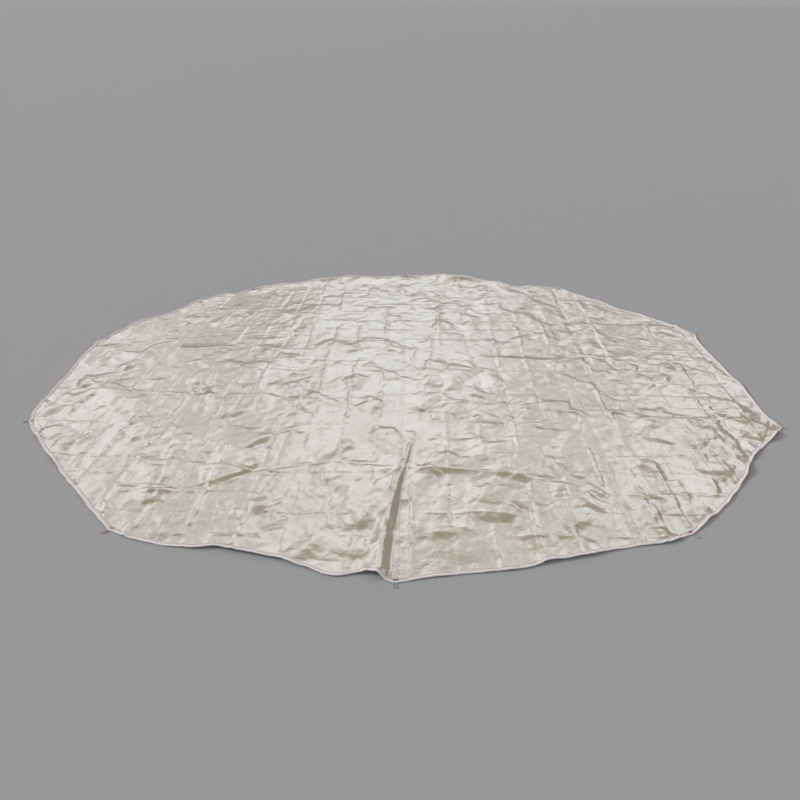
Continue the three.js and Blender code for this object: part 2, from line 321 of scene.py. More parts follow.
PACKING_SPACING = 0.31  # between the folds it was packed with
PACKING_RUN = 0.62
PACKING_LEAST = 0.003  # height of the lowest packing fold
PACKING_UP = (0.012, 0.2)  # along the sheet: the tallest fold, and the share left out
PACKING_OVER = (0.006, 0.5)  # across it
PACKING_WIDTHS = (0.011, 0.018)
FACET_JITTER = 0.25  # share of a facet's size by which its corners stray
FIELD_REACH = 4.4  # the facets cover a square of this half width

CLOTH_MEAN = 0.009  # height of the cloth before it settles
CLOTH_LOW = 0.007  # facets that would go lower lie flat here
CLOTH_EASE = 0.0015
CLOTH_HIGH = 0.022  # above this the facets sag
CLOTH_SAG = 0.3
CLOTH_LEAST = 0.002
CREST_HIGH = 0.050  # above this the pleat and the lips sag, too
CREST_SAG = 0.5
PRESSED = 0.0055  # greatest height where a folded outer strip's corner comes down
PRESSED_REACH = (0.06, 0.16)
EDGE_REACH = (0.03, 0.05)  # depth at which the hem's height begins to fade, and how fast
CORNER_REACH = (0.05, 0.16)
# Where the sheet rolls over, as (middle, half width, share of the creases' height that is left).
CALMED = [(-FOLD_X, 0.05, 0.55), (0.12, 0.09, 0.55), (FOLD_X, 0.05, 0.65)]
CALMED_EASE = 0.08

# Facets of the crumpled cloth: size across, size along, height, turn in degrees.
FACETS = [(0.46, 0.56, 0.017, 2), (0.23, 0.28, 0.018, -4), (0.12, 0.16, 0.011, 7)]
FINE_FACETS = [(0.10, 0.14, 0.0030, 5), (0.05, 0.07, 0.0018, -14)]
# Long narrow facets, pulled out along the sheet, and how far left, right or near they fade in.
LEFT_STREAKS = (0.13, 0.95, 0.0065, -12)
LEFT_FADE = (0.9, 2.2)
RIGHT_STREAKS = (0.15, 0.60, 0.0050, 2)
RIGHT_FADE = (1.2, 2.1)
NEAR_STREAKS = (0.10, 0.55, 0.0022, 0)
NEAR_FADE = (0.4, 1.4)


def facets(size_x, size_y, height, degrees, seed):
    """Flat facets with straight ridges between them: a jittered lattice of random heights."""
    random = np.random.default_rng(seed)
    angle = math.radians(degrees)
    turn = np.array([[math.cos(angle), -math.sin(angle)], [math.sin(angle), math.cos(angle)]])
    nx = int(2 * FIELD_REACH / size_x) + 2
    ny = int(2 * FIELD_REACH / size_y) + 2
    i, j = np.meshgrid(np.arange(nx), np.arange(ny), indexing="ij")
    jitter = random.uniform(-FACET_JITTER, FACET_JITTER, (2, nx, ny))
    plan = np.stack([(i + jitter[0] - nx / 2) * size_x, (j + jitter[1] - ny / 2) * size_y], axis=-1)
    plan = plan @ turn.T
    tops = height * random.uniform(-1, 1, (nx, ny))
    slants = random.random((nx, ny)) < 0.5
    field = np.zeros_like(GX)
    for a in range(nx - 1):
        for b in range(ny - 1):
            quad = [(a, b), (a + 1, b), (a + 1, b + 1), (a, b + 1)]
            if slants[a, b]:
                quad = quad[1:] + quad[:1]
            fill_triangle(field, [plan[q] for q in quad[:3]], [tops[q] for q in quad[:3]])
            rest = [quad[0], quad[2], quad[3]]
            fill_triangle(field, [plan[q] for q in rest], [tops[q] for q in rest])
    return field


def fill_triangle(field, points, heights):
    """Writes one flat facet into the field."""
    p = np.array(points)
    low = np.maximum(np.ceil((p.min(0) - (FIELD_X[0], FIELD_Y[0])) / CELL).astype(int), 0)
    high = np.floor((p.max(0) - (FIELD_X[0], FIELD_Y[0])) / CELL).astype(int) + 1
    high = np.minimum(high, field.shape)
    if np.any(high <= low):
        return
    window = (slice(low[0], high[0]), slice(low[1], high[1]))
    x = GX[window] - p[0, 0]
    y = GY[window] - p[0, 1]
    ab = p[1] - p[0]
    ac = p[2] - p[0]
    area = ab[0] * ac[1] - ab[1] * ac[0]
    if abs(area) < 1e-12:
        return
    u = (x * ac[1] - y * ac[0]) / area
    v = (y * ab[0] - x * ab[1]) / area
    inside = (u >= 0) & (v >= 0) & (u + v <= 1)
    value = heights[0] + u * (heights[1] - heights[0]) + v * (heights[2] - heights[0])
    field[window] = np.where(inside, value, field[window])


def ridge(points, heights, width_left, width_right):
    """A fold along a line: full height on the line, falling away on each side over its own width."""
    points = np.array(points, float)
    heights = np.array(heights, float)
    reach = FOLD_REACH * max(width_left, width_right)
    field = np.zeros_like(GX)
    for k in range(len(points) - 1):
        p, q = points[k], points[k + 1]
        low = np.minimum(p, q) - reach
        high = np.maximum(p, q) + reach
        ix = slice(*np.searchsorted(FIELD_X, [low[0], high[0]]))
        iy = slice(*np.searchsorted(FIELD_Y, [low[1], high[1]]))
        x = GX[ix, iy] - p[0]
        y = GY[ix, iy] - p[1]
        length = max(np.linalg.norm(q - p), 1e-9)
        along = (q - p) / length
        s = np.clip(x * along[0] + y * along[1], 0, length)
        dx = x - s * along[0]
        dy = y - s * along[1]
        distance = np.hypot(dx, dy)
        left = along[0] * y - along[1] * x > 0
        width = np.where(left, width_left, width_right)
        crest = heights[k] + (heights[k + 1] - heights[k]) * s / length
        value = crest * np.exp(-((distance / width) ** FOLD_SHAPE))
        here = field[ix, iy]
        field[ix, iy] = np.where(np.abs(value) > np.abs(here), value, here)
    return field


def wandering(points, random, sway, step=0.22):
    """A line broken into short stretches that wander a little, as a crease does."""
    points = np.array(points, float)
    made = [points[0]]
    for p, q in zip(points[:-1], points[1:]):
        parts = max(1, int(round(np.linalg.norm(q - p) / step)))
        for k in range(1, parts + 1):
            nudge = random.normal(0, sway, 2) if k < parts else 0
            made.append(p + (q - p) * k / parts + nudge)
    return np.array(made)


def crease_field(random):
    """The single creases and folds."""
    field = np.zeros_like(GX)
    for points, first, last, left, right in CREASES:
        line = wandering(points, random, CREASE_SWAY)
        field += ridge(line, np.linspace(first, last, len(line)), left, right)
    return field


def star_field(random):
    """Short wrinkles that run out from the crossings."""
    field = np.zeros_like(GX)
    for x, y, reach in STARS:
        rays = random.integers(*STAR_RAYS)
        for k in range(rays):
            angle = 2 * math.pi * (k + random.uniform(-0.3, 0.3)) / rays
            length = reach * random.uniform(0.5, 1.0)
            away = np.array([math.cos(angle), math.sin(angle)])
            start = np.array([x, y]) + STAR_START * away
            end = np.array([x, y]) + length * away
            height = random.choice([-1, 1, 1]) * random.uniform(*STAR_HEIGHTS)
            line = wandering([start, end], random, 0.008, 0.1)
            field += ridge(line, np.linspace(height, height / 5, len(line)), *STAR_WIDTHS)
    return field


def packing_grid(random):
    """The grid of the packing folds, with gaps."""
    field = np.zeros_like(GX)
    for k in range(-11, 12):
        at = k * PACKING_SPACING + 0.1
        lean = -0.16 * at * smooth(-at, 0.8, 2.0)
        for start in np.arange(-3.5, 3.5, PACKING_RUN):
            end = start + PACKING_RUN
            up = [(at + lean * start / 3, start), (at + lean * end / 3, end)]
            over = [(start, at), (end, at - 0.02)]
            for run, (tallest, gaps) in ((up, PACKING_UP), (over, PACKING_OVER)):
                height = random.choice([-0.5, 1]) * random.uniform(PACKING_LEAST, tallest)
                height *= random.random() > gaps
                line = wandering(run, random, 0.008)
                field += ridge(line, np.full(len(line), height), *PACKING_WIDTHS)
    return field


def lip_field(depth):
    """The lifted lips of the edge and its small waves."""
    field = np.zeros_like(GX)
    for x, y, height, reach in LIPS:
        away = np.hypot(GX - x, GY - y)
        field += height * np.exp(-((away / reach) ** 2)) * np.exp(-np.maximum(depth, 0) / LIP_DEPTH)
    ruffle = 0.5 + 0.5 * np.sin(9.0 * GX + 2.0 * np.sin(2.3 * GY) + 7.0 * GY)
    return field + RUFFLE * ruffle * np.exp(-np.maximum(depth, 0) / RUFFLE_DEPTH)


def pleat_field():
    """The pleat at the near corner: two flat faces that meet in a sharp crest."""
    x, y, top = np.array(PLEAT).T
    away = GX - np.interp(GY, y, x)
    slope = np.where(away < 0, PLEAT_LEFT, PLEAT_RIGHT)
    return np.maximum(np.interp(GY, y, top) - slope * np.abs(away), 0)


def press_down(field):
    """Keeps the cloth low where the corners of the outer strips come down when the sheet is folded."""
    for x, y in CORNERS[np.abs(CORNERS[:, 0]) > FOLD_X]:
        away = np.hypot(GX - (2 * math.copysign(FOLD_X, x) - x), GY - y)
        near = 1 - smooth(away, *PRESSED_REACH)
        field = field * (1 - near) + np.minimum(field, PRESSED) * near
    return field


def roll_mask():
    """Low where the sheet rolls over at a fold."""
    mask = np.ones_like(GX)
    for middle, half, least in CALMED:
        away = np.abs(GX - middle)
        mask *= least + (1 - least) * smooth(away, half, half + CALMED_EASE)
    return mask


def settled(field):
    """Cloth that would sink too low lies flat instead, and high crests sag."""
    over = field - CLOTH_LOW
    field = CLOTH_LOW + 0.5 * (over + np.sqrt(over**2 + CLOTH_EASE**2))
    return sagged(field, CLOTH_HIGH, CLOTH_SAG)


def sagged(field, high, share):
    """Whatever stands above a height keeps only a share of its excess."""
    return np.minimum(field, high) + share * np.maximum(field - high, 0)


def lay_cloth():
    """The whole height field."""
    random = np.random.default_rng(SEED)
    depth = depth_inside(GX, GY)
    field = sum(facets(*layer, SEED + k) for k, layer in enumerate(FACETS))
    fine = sum(facets(*layer, SEED + 10 + k) for k, layer in enumerate(FINE_FACETS))
    field += facets(*LEFT_STREAKS, SEED + 20) * smooth(-GX, *LEFT_FADE)
    field += facets(*RIGHT_STREAKS, SEED + 21) * smooth(GX, *RIGHT_FADE)
    field += facets(*NEAR_STREAKS, SEED + 22) * smooth(-GY, *NEAR_FADE)
    field = settled(field * roll_mask() + CLOTH_MEAN) + fine
    folds = packing_grid(random) + star_field(random) + crease_field(random)
    field = np.maximum(field + folds * roll_mask(), CLOTH_LEAST)
    field += pleat_field() + lip_field(depth)
    field = sagged(field, CREST_HIGH, CREST_SAG)
    field = press_down(field)
    fade_from, fade = EDGE_REACH
    edge = np.exp(-np.maximum(depth - fade_from, 0) / fade)
    field = np.maximum(field, REST_HEIGHT * edge)
    for corner in CORNERS:
        near = 1 - smooth(np.hypot(GX - corner[0], GY - corner[1]), *CORNER_REACH)
        field = field * (1 - near) + REST_HEIGHT * near
    return field


FIELD = lay_cloth()


def height(x, y):
    """The cloth's height at plan points, between the raster's."""
    u = np.clip((np.asarray(x, float) - FIELD_X[0]) / CELL, 0, len(FIELD_X) - 1.001)
    v = np.clip((np.asarray(y, float) - FIELD_Y[0]) / CELL, 0, len(FIELD_Y) - 1.001)
    i = u.astype(int)
    j = v.astype(int)
    a = u - i
    b = v - j
    near = FIELD[i, j] * (1 - a) + FIELD[i + 1, j] * a
    far = FIELD[i, j + 1] * (1 - a) + FIELD[i + 1, j + 1] * a
    return near * (1 - b) + far * b


# ---- Mesh helpers ----


def grid_faces(rows, columns):
    """Faces of a sheet of points."""
    i, j = np.meshgrid(np.arange(rows - 1), np.arange(columns - 1), indexing="ij")
    first = (i * columns + j).ravel()
    return np.stack([first, first + 1, first + columns + 1, first + columns], axis=1)


def tube_faces(rings, around, offset=0):
    """Faces between rings of points, each ring closed on itself."""
    i, j = np.meshgrid(np.arange(rings - 1), np.arange(around), indexing="ij")
    a = (i * around + j).ravel()
    b = (i * around + (j + 1) % around).ravel()
    return np.stack([a, b, b + around, a + around], axis=1) + offset


def build(name, points, faces, material, uv=None, caps=()):
    """A smooth mesh object from points, four-sided faces and end caps."""
    points = np.asarray(points, float).reshape(-1, 3)
    mesh = bpy.data.meshes.new(name)
    loops = np.concatenate([np.asarray(faces).ravel(), *[np.asarray(c) for c in caps]]).astype(np.int32)
    sizes = np.concatenate([np.full(len(faces), 4), [len(c) for c in caps]]).astype(np.int32)
    starts = np.concatenate([[0], np.cumsum(sizes)[:-1]]).astype(np.int32)
    mesh.vertices.add(len(points))
    mesh.vertices.foreach_set("co", points.astype(np.float32).ravel())
    mesh.loops.add(len(loops))
    mesh.loops.foreach_set("vertex_index", loops)
    mesh.polygons.add(len(sizes))
    mesh.polygons.foreach_set("loop_start", starts)
    mesh.polygons.foreach_set("use_smooth", np.ones(len(sizes), bool))
    mesh.materials.append(material)
    if uv is not None:
        layer = mesh.uv_layers.new(name="Plan")
        layer.data.foreach_set("uv", np.asarray(uv, np.float32)[loops].ravel())
    mesh.update(calc_edges=True)
    obj = bpy.data.objects.new(name, mesh)
    bpy.context.scene.collection.objects.link(obj)
    return obj


# ---- Materials ----

ROUGHNESS_LEAST = 0.07  # of the cloth
ROUGHNESS_RANGE = 0.09
TAPE_PITCH = 0.0026  # width of the cloth's woven tapes


def new_material(name):
    material = bpy.data.materials.new(name)
    material.use_nodes = True
    tree = material.node_tree
    return material, tree, tree.nodes["Principled BSDF"]


def math_node(tree, operation, *values):
    """One sum on numbers and other nodes' outputs."""
    node = tree.nodes.new("ShaderNodeMath")
    node.operation = operation
    for k, value in enumerate(values):
        if isinstance(value, (int, float)):
            node.inputs[k].default_value = value
        else:
            tree.links.new(value, node.inputs[k])
    return node.outputs[0]


def plan_coordinates(tree, scale):
    """The piece's own flat coordinates, in metres, times a scale for each direction."""
    source = tree.nodes.new("ShaderNodeUVMap")
    source.uv_map = "Plan"
    mapping = tree.nodes.new("ShaderNodeMapping")
    mapping.inputs["Scale"].default_value = scale
    tree.links.new(source.outputs[0], mapping.inputs[0])
    return mapping.outputs[0]


def noise(tree, scale, detail=2.0, roughness=0.5, stretch=(1, 1, 1)):
    node = tree.nodes.new("ShaderNodeTexNoise")
    node.inputs["Scale"].default_value = scale
    node.inputs["Detail"].default_value = detail
    node.inputs["Roughness"].default_value = roughness
    tree.links.new(plan_coordinates(tree, stretch), node.inputs["Vector"])
    return node.outputs["Fac"]


def wrinkles(tree, scale, stretch=(1, 1, 1)):
    """Rounded ridges that meet in sharp valleys."""
    centred = math_node(tree, "SUBTRACT", noise(tree, scale, 3.0, 0.55, stretch), 0.5)
    return math_node(tree, "ABSOLUTE", centred)


def weave(tree, pitch):
    """Flat tapes crossing over and under, each as wide as the pitch."""
    source = tree.nodes.new("ShaderNodeSeparateXYZ")
    tree.links.new(plan_coordinates(tree, (math.pi / pitch,) * 3), source.inputs[0])
    across = math_node(tree, "SINE", source.outputs[0])
    along = math_node(tree, "SINE", source.outputs[1])
    return math_node(tree, "MULTIPLY", across, along)


def ramp(tree, source, stops):
    """A colour for each value, between stops given as (value, colour)."""
    node = tree.nodes.new("ShaderNodeValToRGB")
    elements = node.color_ramp.elements
    while len(elements) < len(stops):
        elements.new(0.5)
    for element, (position, color) in zip(elements, stops):
        element.position = position
        element.color = (*color, 1)
    tree.links.new(source, node.inputs[0])
    return node.outputs[0]


def bumps(tree, shader, layers):
    """Bumps one on another, as (height output, depth in metres)."""
    previous = None
    for source, depth in layers:
        node = tree.nodes.new("ShaderNodeBump")
        node.inputs["Distance"].default_value = depth
        tree.links.new(source, node.inputs["Height"])
        if previous is not None:
            tree.links.new(previous, node.inputs["Normal"])
        previous = node.outputs[0]
    tree.links.new(previous, shader.inputs["Normal"])


def cloth_material(name, light, dark):
    """Satin woven polyethylene, uneven in colour and gloss, with fine wrinkles."""
    material, tree, shader = new_material(name)
    blotches = noise(tree, 1.6, 3.0, 0.6)
    mottle = noise(tree, 14.0, 3.0, 0.6)
    coarse = math_node(tree, "MULTIPLY", blotches, 0.6)
    fine = math_node(tree, "MULTIPLY", mottle, 0.4)
    color = ramp(tree, math_node(tree, "ADD", coarse, fine), [(0.36, dark), (0.62, light)])
    tree.links.new(color, shader.inputs["Base Color"])
    roughness = math_node(tree, "MULTIPLY_ADD", noise(tree, 9.0, 2.0), ROUGHNESS_RANGE, ROUGHNESS_LEAST)
    tree.links.new(roughness, shader.inputs["Roughness"])
    shader.inputs["Metallic"].default_value = 0.65
    shader.inputs["Specular IOR Level"].default_value = 0.6
    layers = [
        (wrinkles(tree, 6.0, (1.3, 0.8, 1)), 0.0045),
        (wrinkles(tree, 17.0), 0.0026),
        (noise(tree, 30.0, 2.0, 0.6), 0.0015),
        (weave(tree, TAPE_PITCH), 0.00006),
    ]
    bumps(tree, shader, layers)
    return material


def plain_woven(name, color, roughness, pitch, depth):
    """Matt woven tape or cord."""
    material, tree, shader = new_material(name)
    mottle = noise(tree, 40.0, 2.0)
    dark = tuple(0.88 * c for c in color)
    tree.links.new(ramp(tree, mottle, [(0.35, dark), (0.65, color)]), shader.inputs["Base Color"])
    shader.inputs["Roughness"].default_value = roughness
    bumps(tree, shader, [(weave(tree, pitch), depth), (mottle, 0.0008)])
    return material


CLOTH = cloth_material("woven_polyethylene", (0.665, 0.63, 0.555), (0.565, 0.53, 0.455))
WELD = cloth_material("welded_polyethylene", (0.645, 0.61, 0.535), (0.545, 0.51, 0.435))
HEM = plain_woven("hem_tape", (0.90, 0.84, 0.83), 0.6, 0.002, 0.0002)
THREAD = plain_woven("mauve_thread", (0.52, 0.34, 0.40), 0.6, 0.0008, 0.0002)
ROPE = plain_woven("twisted_rope", (0.72, 0.69, 0.63), 0.75, 0.003, 0.0006)
PATCH = plain_woven("reinforcing_patch", (0.80, 0.70, 0.67), 0.6, 0.0022, 0.0002)
CORD = plain_woven("braided_cord", (0.50, 0.46, 0.45), 0.75, 0.002, 0.0006)


# ---- The four strips of cloth ----


def cloth_edge(side):
    """Plan points along a side, just inside the hem, where the cloth ends."""
    return side.place(np.linspace(0, side.length, 240), CLOTH_INSET)


def edge_y(x, far):
    """y of the cloth's near or far end at plan x, inside the hem."""
    sides = SIDE_LIST[3:7] if far else SIDE_LIST[8:10] + SIDE_LIST[0:2]
    points = np.concatenate([cloth_edge(side) for side in sides])
    points = points[np.argsort(points[:, 0])]
    return np.interp(x, points[:, 0], points[:, 1])


def side_x(y, right):
    """x of the cloth's left or right edge at plan y, inside the hem."""
    points = cloth_edge(SIDE_LIST[2 if right else 7])
    points = points[np.argsort(points[:, 1])]
    return np.interp(y, points[:, 1], points[:, 0])


def strip_plan(from_x, to_x, outer):
    """Plan points of a strip in columns; an outer strip's last column follows the sheet's own side."""
    right = to_x > 0
    columns = int(abs(to_x - from_x) / CLOTH_STEP) + 1
    share = np.linspace(0, 1, columns)[:, None] ** 3 * outer
    x = np.linspace(from_x, to_x, columns)[:, None]
    near_x, far_x = [x + share * (end - to_x) for end in outer_ends(right)]
    near = edge_y(near_x, far=False)
    far = edge_y(far_x, far=True)
    rows = int((far - near).max() / CLOTH_STEP) + 1
    t = np.linspace(0, 1, rows)
    y = near + (far - near) * t
    plan_x = near_x + (far_x - near_x) * t
    plan_x = plan_x + share * (side_x(y[-1], right) - plan_x[-1])
    return plan_x, y


def outer_ends(right):
    """x of the cloth's near and far corners at the sheet's right or left side, inside the hem."""
    side = SIDE_LIST[2 if right else 7]
    ends = side.place(np.array([0, side.length]), CLOTH_INSET)[:, 0]
    return ends if right else ends[::-1]


def outer_limit(right):
    """x out to which an outer strip reaches at both of its corners."""
    ends = outer_ends(right)
    return float(ends.min() if right else ends.max())


def strip(name, from_x, to_x, outer, ride_on, nodes):
    """One strip of cloth, from its left seam rightwards, or outwards from its seam if it is an outer one."""
    x, y = strip_plan(from_x, to_x, outer)
    z = height(x, y)
    right_end = max(from_x, to_x)
    if right_end <= SEAM_X + LAP:
        z -= LAP_DROP * smooth(x, right_end - LAP - LAP_EASE, right_end - LAP + LAP_EASE)
    faces = grid_faces(*x.shape)
    if from_x < to_x:
        faces = faces[:, ::-1]
    plan = np.stack([x, y], axis=-1).reshape(-1, 2)
    obj = build(name, np.stack([x, y, z], axis=-1), faces, CLOTH, uv=plan)
    settle(obj, ride_on)
    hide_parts(*nodes)


def settle(obj, ride_on):
    """Puts a piece on one body, given by name; a piece given a roll between two bodies is left where it is,
    on neither body.
    """
    if isinstance(ride_on, str):
        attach(obj, ride_on)
        return
    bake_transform(obj)


# ---- The welds ----


def weld(node, x, body):
    """A lap weld: a flattened band of doubled cloth over the meeting of two strips."""
    near = edge_y(x, far=False)
    far = edge_y(x, far=True)
    rows = int((far - near) / CLOTH_STEP)
    across = np.linspace(-WELD_WIDTH / 2, WELD_WIDTH / 2, WELD_COLUMNS)
    y = np.linspace(near, far, rows)
    px, py = np.meshgrid(x + across, y, indexing="ij")
    from_edge = 1 - np.abs(across) / (WELD_WIDTH / 2)
    rise = WELD_RISE * np.minimum(1, 4 * from_edge)[:, None]
    top = height(px, py) + WELD_CLEAR + rise
    faces = grid_faces(WELD_COLUMNS, rows)[:, ::-1]
    plan = np.stack([px, py], axis=-1).reshape(-1, 2)
    obj = build(node + "_band", np.stack([px, py, top], axis=-1), faces, WELD, uv=plan)
    settle(obj, body)
    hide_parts(node)


# ---- The hem, its rope and its stitching ----

SIDES_OVER_SEAMS = (1, 5, 6, 10)  # sides that run across an outer seam, counted from 1
SIDES_ENDING_INSIDE = (5, 10)  # those of them that end on an inner strip


def hem_section():
    """The hem's tape in closed section, as (depth in from the outer edge, height over the cloth)."""
    sweep = np.linspace(math.radians(35), math.radians(325), 11)
    outer = [(SLEEVE_DEPTH + SLEEVE_RADIUS * math.cos(a), SLEEVE_RADIUS * math.sin(a)) for a in sweep]
    thin = SLEEVE_RADIUS - TAPE
    inner = [(SLEEVE_DEPTH + thin * math.cos(a), thin * math.sin(a)) for a in sweep[::-2]]
    end = HEM_WIDTH - 0.004  # the tape ends a little sooner under the cloth
    top = [(HEM_WIDTH, 0.0006), (HEM_WIDTH, 0.0006 + TAPE), (0.026, 0.0017), (0.016, 0.0018)]
    under = [(0.016, -0.0018), (0.024, -0.0017), (end, -0.0013), (end, -0.0006)]
    mouth_under = [(0.016, -0.0009)]
    mouth_over = [(0.016, 0.0009)]
    return np.array(top + outer + under + mouth_under + inner + mouth_over)


def hem_points(side, s, depth, over):
    """Points at distance s along a side, a depth inside its edge and a height over the cloth."""
    plan = side.place(s, depth)
    rope = side.place(s, SLEEVE_DEPTH)
    flat = smooth(np.broadcast_to(depth, plan.shape[:-1]), *HEM_LEAVES_ROPE)
    z = height(rope[..., 0], rope[..., 1]) * (1 - flat) + height(plan[..., 0], plan[..., 1]) * flat
    return np.concatenate([plan, (z + over)[..., None]], axis=-1)


def closed_run(points, material, name, uv):
    """A run of closed rings with flat ends."""
    rings, around = points.shape[:2]
    ends = [np.arange(around)[::-1], np.arange(around) + (rings - 1) * around]
    return build(name, points, tube_faces(rings, around), material, uv=uv, caps=ends)


def hem_stretch(label, side, start, end, ride_on, nodes):
    """One stretch of hem with its rope and its stitching, on one body or across a roll."""
    s = np.linspace(start, end, max(2, int((end - start) / HEM_STEP)) + 1)
    section = hem_section()
    tape = hem_points(side, s[:, None], section[None, :, 0], section[None, :, 1])
    girth = np.concatenate([[0], np.cumsum(np.linalg.norm(np.diff(section, axis=0), axis=1))])
    uv = np.stack(np.broadcast_arrays(s[:, None], girth[None, :]), axis=-1).reshape(-1, 2)
    hem = closed_run(tape, HEM, f"hem_tape_{label}", uv)
    rope = rope_run(side, s, f"hem_rope_run_{label}")
    thread = hem_stitching(side, start, end, f"hem_stitching_{label}")
    for obj in (hem, rope, thread):
        settle(obj, ride_on)
    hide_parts(*[f"hem_{n}" for n in nodes])
    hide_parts(*[f"hem_rope_{n}" for n in nodes])
    return [hem, rope, thread]


def rope_run(side, s, name):
    """A three-strand rope inside the hem's sleeve."""
    around = 12
    angle = np.linspace(0, 2 * math.pi, around, endpoint=False)
    twist = 2 * math.pi * s[:, None] / ROPE_LAY
    radius = ROPE_RADIUS * (0.86 + 0.14 * np.abs(np.cos(1.5 * (angle[None, :] - twist))))
    points = hem_points(side, s[:, None], SLEEVE_DEPTH + radius * np.cos(angle), radius * np.sin(angle))
    uv = np.stack(np.broadcast_arrays(s[:, None], angle[None, :] * ROPE_RADIUS), axis=-1).reshape(-1, 2)
    return closed_run(points, ROPE, name, uv)


def hem_stitching(side, start, end, name):
    """Two rows of stitches along the hem's inner edge."""
    first, last = side.mitres()
    places = np.arange(start + STITCH_PITCH / 2, end - STITCH_PITCH, STITCH_PITCH)
    starts = []
    ends = []
    for depth in STITCH_DEPTHS:
        inside = (places > depth * first) & (places + STITCH_LENGTH < side.length - depth * last)
        starts.append(side.place(places[inside], depth))
        ends.append(side.place(places[inside] + STITCH_LENGTH, depth))
    return stitches(name, np.concatenate(starts), np.concatenate(ends), 0.0013 + TAPE)


def stitches(name, starts, ends, over):
    """Stitches between plan points, each a short bead of thread lying a given height over the cloth."""
    t = np.array([0, 0.3, 0.7, 1])[None, :, None]
    middle = starts[:, None, :] * (1 - t) + ends[:, None, :] * t
    z = height(middle[..., 0], middle[..., 1]) + over
    side = turned(ends - starts) / np.linalg.norm(ends - starts, axis=1)[:, None]
    ring = np.linspace(0, 2 * math.pi, 6, endpoint=False)
    radius = THREAD_RADIUS * np.array([0.35, 1, 1, 0.35])[None, :, None]
    plan = middle[:, :, None, :] + (radius * np.cos(ring))[..., None] * side[:, None, None, :]
    points = np.concatenate([plan, (z[..., None] + radius * np.sin(ring))[..., None]], axis=-1)
    faces = np.concatenate([tube_faces(4, 6, 24 * k) for k in range(len(starts))])
    return build(name, points, faces, THREAD, uv=points[..., :2].reshape(-1, 2))


def along_at_x(side, x):
    """Distance along a side at which its edge crosses a plan x."""
    s = np.linspace(0, side.length, 2000)
    points = side.place(s, 0)
    return float(s[np.argmin(np.abs(points[:, 0] - x))])


def hems():
    """Every stretch of hem, by the strip that it edges."""
    made = {"outer_left": [], "inner_left": [], "inner_right": [], "outer_right": []}
    for i, side in enumerate(SIDE_LIST):
        n = i + 1
        right = n <= SIDES // 2
        if n not in SIDES_OVER_SEAMS:
            strip_name = "outer_right" if right else "outer_left"
            made[strip_name] += hem_stretch(f"{n}", side, 0, side.length, strip_name, [n])
            continue
        cut = along_at_x(side, SEAM_X if right else -SEAM_X)
        inner, outer = (0, cut), (cut, side.length)
        if n in SIDES_ENDING_INSIDE:
            inner, outer = outer, inner
        if right:
            made["inner_right"] += hem_stretch(f"{n}_inner", side, *inner, CENTRE_ROLL, [f"{n}b", f"{n}c"])
            made["outer_right"] += hem_stretch(f"{n}_outer", side, *outer, RIGHT_ROLL, [f"{n}d"])
        else:
            made["inner_left"] += hem_stretch(f"{n}_inner", side, *inner, "inner_left", [f"{n}b"])
            made["outer_left"] += hem_stretch(f"{n}_outer", side, *outer, LEFT_ROLL, [f"{n}a"])
    return made


# ---- The corners ----


def corner_axes(i):
    """The corner's tip, the direction straight out of it, and the directions back along its two sides."""
    before = SIDE_LIST[i - 1]
    after = SIDE_LIST[i]
    out = unit(before.out + after.out)
    return CORNERS[i], out, -before.along, after.along


def corner_patch(i, ride_on):
    """A three-sided patch sewn over the hem at a corner, with a stitched border and a bar of stitches."""
    tip, out, left, right = corner_axes(i)
    start = tip - PATCH_BACK * out
    reach = np.linspace(PATCH_BLUNT, PATCH_LEG, PATCH_STEPS + 1)[:, None, None]
    share = np.linspace(0, 1, PATCH_STEPS + 1)[None, :, None]
    plan = start + reach * (left + (right - left) * share)
    z = height(plan[..., 0], plan[..., 1]) + PATCH_RISE
    z[[0, -1], :] -= TAPE
    z[:, [0, -1]] -= TAPE
    points = np.concatenate([plan, z[..., None]], axis=-1)
    faces = grid_faces(PATCH_STEPS + 1, PATCH_STEPS + 1)
    patch = build(f"reinforcement_{i + 1}", points, faces, PATCH, uv=plan.reshape(-1, 2))
    border = patch_border(start, left, right)
    thread = stitches(f"reinforcement_stitching_{i + 1}", *border, PATCH_RISE + THREAD_RADIUS / 2)
    across = turned(out)
    depth = TACK_START + TACK_PITCH * np.arange(TACK_STITCHES)[:, None]
    half = across * np.minimum(TACK_WIDTH / 2, TACK_FLARE * depth)
    rows = start - out * depth
    tack = stitches(f"bar_tack_{i + 1}", rows - half, rows + half, PATCH_RISE + THREAD_RADIUS)
    for obj in (patch, thread, tack):
        settle(obj, ride_on)
    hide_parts(f"corner_patch_{i + 1}")
    return [patch, thread, tack]


def patch_border(start, left, right):
    """Starts and ends of the stitches along the patch's three sides."""
    middle = start + (left + right) * PATCH_LEG * 0.45
    corners = [start + (left + right) * PATCH_BLUNT, start + left * PATCH_LEG, start + right * PATCH_LEG]
    corners = [c + unit(middle - c) * PATCH_MARGIN for c in corners]
    starts = []
    ends = []
    for p, q in [(0, 1), (1, 2), (2, 0)]:
        length = np.linalg.norm(corners[q] - corners[p])
        along = (corners[q] - corners[p]) / length
        places = np.arange(0.004, length - STITCH_LENGTH, STITCH_PITCH)[:, None]
        starts.append(corners[p] + places * along)
        ends.append(corners[p] + (places + STITCH_LENGTH) * along)
    return np.concatenate(starts), np.concatenate(ends)


